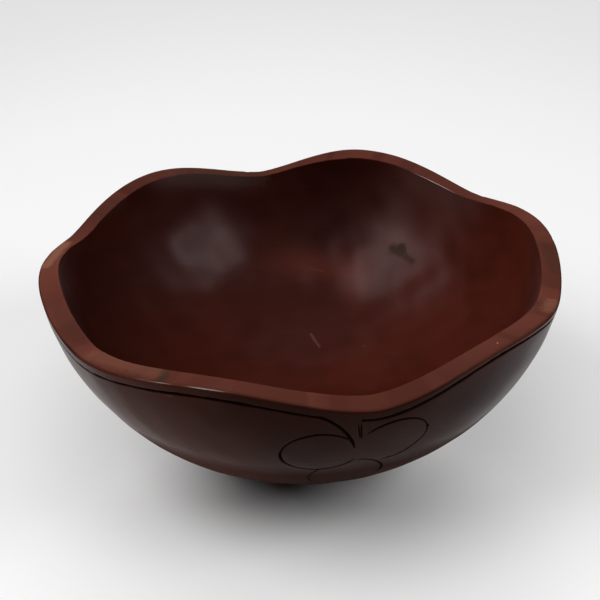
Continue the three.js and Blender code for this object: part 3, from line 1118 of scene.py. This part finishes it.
def add_piece(mesh, materials, node):
    """Puts a finished mesh into the scene in place of a frame node, riding on the bowl's one body."""
    piece = bpy.data.objects.new(mesh.name, mesh)
    bpy.context.scene.collection.objects.link(piece)
    for material in materials:
        mesh.materials.append(material)
    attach(piece, BODY)
    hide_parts(node)


class FOOTEDBOWL_OT_carved_bowl(bpy.types.Operator):
    """Make the carved bowl with its wavy rim, border line and flower"""

    bl_idname = "footed_bowl.carved_bowl"
    bl_label = "Carved bowl"

    def execute(self, context):
        settings = context.scene.footed_bowl
        mesh = carved_bowl_mesh(BowlSurface(settings.bowl, settings.carving))
        figure, streaks = wood_figure_group(), streak_group()
        woods = [bowl_wood(zone, figure, streaks, settings.wood) for zone in ZONES]
        add_piece(mesh, woods, "bowl_body")
        return {"FINISHED"}


class FOOTEDBOWL_OT_turned_foot(bpy.types.Operator):
    """Make the turned foot under the bowl"""

    bl_idname = "footed_bowl.turned_foot"
    bl_label = "Turned foot"

    def execute(self, context):
        settings = context.scene.footed_bowl
        mesh = turned_mesh("turned_foot", foot_profile(settings.foot))
        figure = bpy.data.node_groups.get("Wood figure") or wood_figure_group()
        add_piece(mesh, [foot_wood(figure, settings.wood)], "foot_ring")
        return {"FINISHED"}


def soft_lamp(lamp, azimuth):
    """Area lamp at its turn from the camera's azimuth and its height, turned to face the bowl."""
    turn, height = azimuth + math.radians(lamp.turn), math.radians(lamp.height)
    level = lamp.distance * math.cos(height)
    place = Vector((level * math.sin(turn), -level * math.cos(turn), lamp.distance * math.sin(height)))
    light = bpy.data.lights.new(lamp.name, "AREA")
    light.shape = "ELLIPSE"
    light.size, light.size_y = lamp.width, lamp.tall
    light.energy = lamp.power
    holder = bpy.data.objects.new(lamp.name, light)
    holder.location = place
    holder.rotation_euler = place.to_track_quat("Z", "Y").to_euler()
    holder.visible_camera = False
    holder.visible_glossy = lamp.reflected
    bpy.context.scene.collection.objects.link(holder)


def add_camera(stage):
    """Camera with its right and up directions leaned clockwise by the roll."""
    turn = Matrix.Rotation(stage.azimuth, 3, "Z")
    forward = turn @ Vector((0, math.cos(stage.pitch), -math.sin(stage.pitch)))
    right = turn @ Vector((1, 0, 0))
    up = right.cross(forward)
    leaned_right = right * math.cos(stage.roll) - up * math.sin(stage.roll)
    leaned_up = up * math.cos(stage.roll) + right * math.sin(stage.roll)
    pose = Matrix((leaned_right, leaned_up, -forward)).transposed().to_4x4()
    pose.translation = stage.eye
    lens = bpy.data.cameras.new("photo_camera")
    lens.lens = stage.lens
    camera = bpy.data.objects.new("photo_camera", lens)
    camera.matrix_world = pose
    bpy.context.scene.collection.objects.link(camera)
    bpy.context.scene.camera = camera


def pale_paper(stage):
    """Pale paper, which the camera sees as pale far out too, where the lamps hardly reach."""
    paper = bpy.data.materials.new("pale_paper")
    paper.use_nodes = True
    tree = paper.node_tree
    shader = tree.nodes["Principled BSDF"]
    set_inputs(tree, shader, {"Base Color": (*[stage.floor_tone] * 3, 1), "Roughness": 0.9})
    place = add_node(tree, "ShaderNodeTexCoord").outputs["Object"]
    away = add_node(tree, "ShaderNodeVectorMath", {0: place}, operation="LENGTH").outputs["Value"]
    seen = add_node(tree, "ShaderNodeLightPath").outputs["Is Camera Ray"]
    far = calculate(tree, "MULTIPLY", seen, remap(tree, away, stage.near_floor, stage.far_floor))
    glow = add_node(tree, "ShaderNodeEmission", {"Strength": stage.backdrop}).outputs[0]
    paper_far = add_node(tree, "ShaderNodeMixShader", {0: far, 1: shader.outputs[0], 2: glow}).outputs[0]
    tree.links.new(paper_far, tree.nodes["Material Output"].inputs["Surface"])
    return paper


def light_surroundings(scene, stage):
    """World that gives the bowl a little light from all round, and that the camera sees as pale."""
    scene.world = scene.world or bpy.data.worlds.new("studio_light")
    scene.world.use_nodes = True
    tree = scene.world.node_tree
    seen = add_node(tree, "ShaderNodeLightPath").outputs["Is Camera Ray"]
    strength = blend(tree, seen, stage.fill_light, stage.backdrop)
    set_inputs(tree, tree.nodes["Background"], {"Color": (1, 1, 1, 1), "Strength": strength})


class FOOTEDBOWL_OT_stage(bpy.types.Operator):
    """Make the pale floor, the soft lamps and the camera"""

    bl_idname = "footed_bowl.stage"
    bl_label = "Studio stage"

    def execute(self, context):
        stage = context.scene.footed_bowl.stage
        add_camera(stage)
        bpy.ops.mesh.primitive_plane_add(size=stage.floor_size, location=(0, 0, FOOT_BOX[0].z))
        floor = context.object
        floor.name = "studio_floor"
        floor.data.materials.append(pale_paper(stage))
        light_surroundings(context.scene, stage)
        for lamp in LAMPS:
            soft_lamp(lamp, stage.azimuth)
        context.scene.view_settings.view_transform = "Standard"
        return {"FINISHED"}


class FOOTEDBOWL_PT_panel(bpy.types.Panel):
    """Sidebar panel that lists the bowl's pieces"""

    bl_idname = "FOOTEDBOWL_PT_panel"
    bl_label = "Footed bowl"
    bl_space_type = "VIEW_3D"
    bl_region_type = "UI"
    bl_category = "Bowl"

    def draw(self, context):
        for operator in OPERATORS:
            self.layout.operator(operator.bl_idname)


OPERATORS = (FOOTEDBOWL_OT_stage, FOOTEDBOWL_OT_carved_bowl, FOOTEDBOWL_OT_turned_foot)
SETTINGS = (BowlSizes, CarvingSizes, FootSizes, WoodLook, StageSettings, FootedBowl)
CLASSES = (*SETTINGS, *OPERATORS, FOOTEDBOWL_PT_panel)


def register():
    for each in CLASSES:
        bpy.utils.register_class(each)
    bpy.types.Scene.footed_bowl = PointerProperty(type=FootedBowl)


def unregister():
    del bpy.types.Scene.footed_bowl
    for each in reversed(CLASSES):
        bpy.utils.unregister_class(each)


def main():
    register()
    bpy.ops.footed_bowl.stage()
    bpy.ops.footed_bowl.carved_bowl()
    bpy.ops.footed_bowl.turned_foot()


if __name__ == "__main__":
    main()
